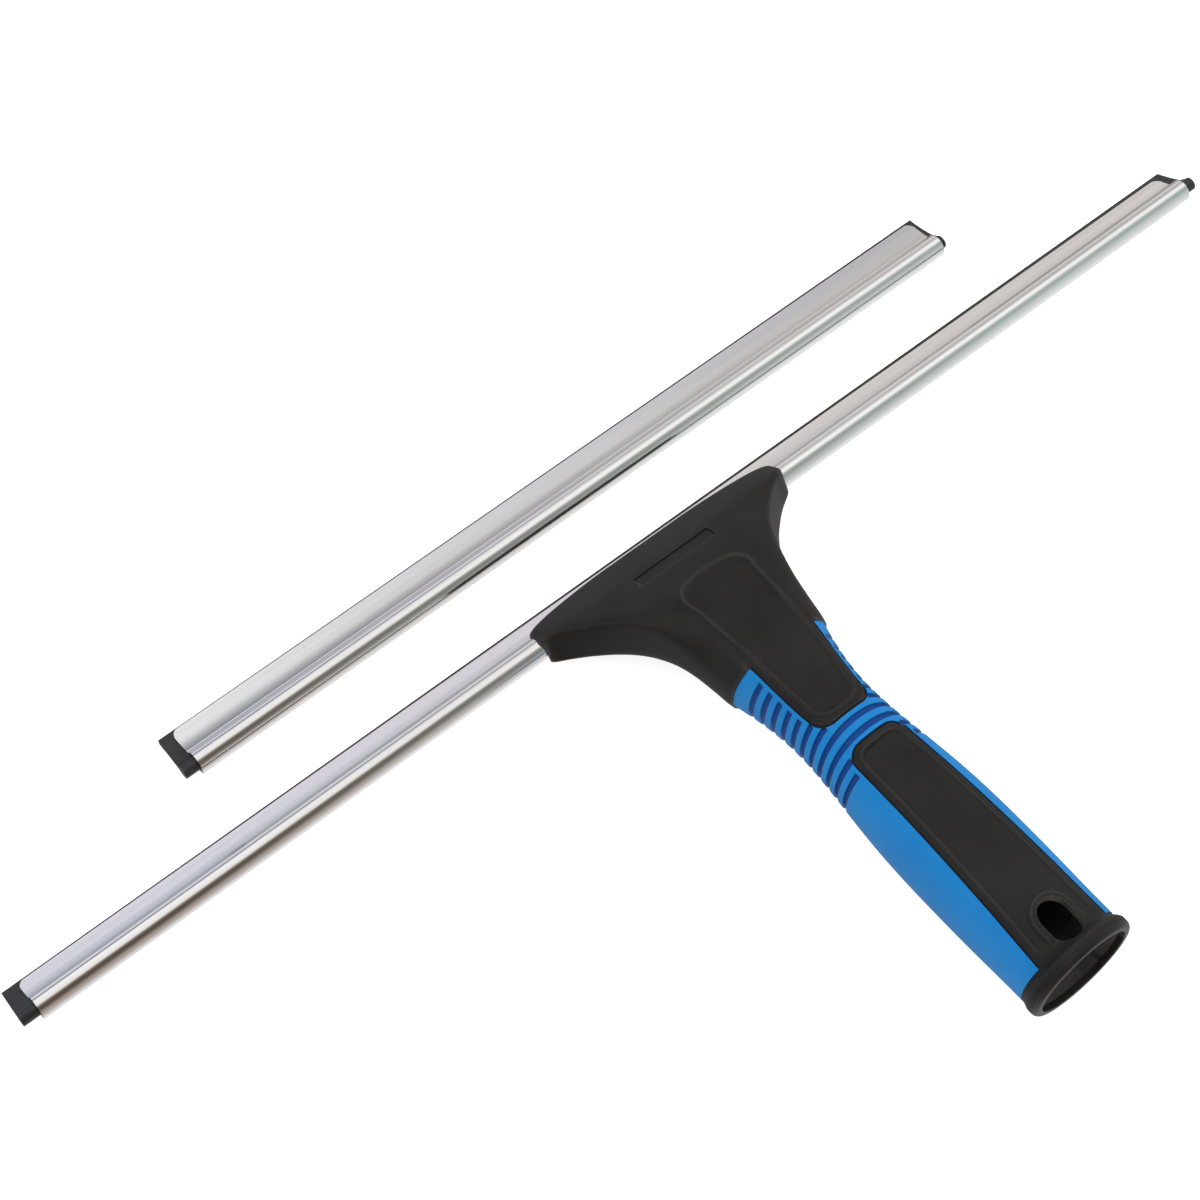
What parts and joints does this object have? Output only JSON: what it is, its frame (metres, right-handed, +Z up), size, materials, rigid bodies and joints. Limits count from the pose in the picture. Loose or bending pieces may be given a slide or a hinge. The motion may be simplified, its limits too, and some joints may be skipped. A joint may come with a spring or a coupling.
{
  "type": "window squeegee",
  "caption": "Window squeegee with a grooved two-tone grip, a slide-in steel blade channel held by a lock lever, and a shorter spare channel lying beside it.",
  "frame": {"origin": "centre of the pole socket's mouth, in the plane of the collar's front face", "axes": "+X along the blades, +Y along the handle from the socket towards the blade, +Z up; the tool lies on its collar and on its blade's edge"},
  "size_m": [0.4586, 0.2282, 0.0364],
  "materials": {
    "black_plastic": "satin, faintly warm black, hard plastic",
    "blue_grip": "satin soft-touch blue",
    "lever_plastic": "satin",
    "pad_rubber": "matt",
    "pin_steel": "ground",
    "spring_steel": "drawn wire",
    "channel_steel": "polished stainless sheet, grain along the length",
    "blade_rubber": "matt extruded rubber",
    "clip_plastic": "satin"
  },
  "bodies": {
    "handle": {"handle_core": "black_plastic", "grip_sleeve": "blue_grip", "lever_pin": "pin_steel", "lever_spring": "spring_steel"},
    "lever": {"lock_lever": "lever_plastic", "jaw_pad": "pad_rubber"},
    "long_blade": {"long_channel": "channel_steel", "long_clip_left": "clip_plastic", "long_clip_right": "clip_plastic"},
    "long_strip": {"long_rubber": "blade_rubber"},
    "short_blade": {"short_channel": "channel_steel", "short_clip_left": "clip_plastic", "short_clip_right": "clip_plastic"},
    "short_strip": {"short_rubber": "blade_rubber"}
  },
  "joints": [
    {"name": "channel_slide", "type": "slide", "parent": "handle", "child": "long_blade", "axis": [1, 0, 0], "range_m": [-0.17, 0.17]},
    {"name": "long_rubber_slide", "type": "slide", "parent": "long_blade", "child": "long_strip", "axis": [1, 0, 0], "range_m": [0, 0.43]},
    {"name": "lock_pivot", "type": "hinge", "parent": "handle", "child": "lever", "pos_m": [0, 0.1523, -0.0122], "axis": [-1, 0, 0], "range_deg": [0, 8], "stiffness_Nm_per_rad": 0.6, "springref_deg": -6.88, "deforming": ["lever_spring"]},
    {"name": "spare_lift", "type": "slide", "parent": "handle", "child": "short_blade", "axis": [0, 0, 1], "range_m": [0, 0.12]},
    {"name": "short_rubber_slide", "type": "slide", "parent": "short_blade", "child": "short_strip", "axis": [1, 0.004, 0], "range_m": [0, 0.28]}
  ]
}
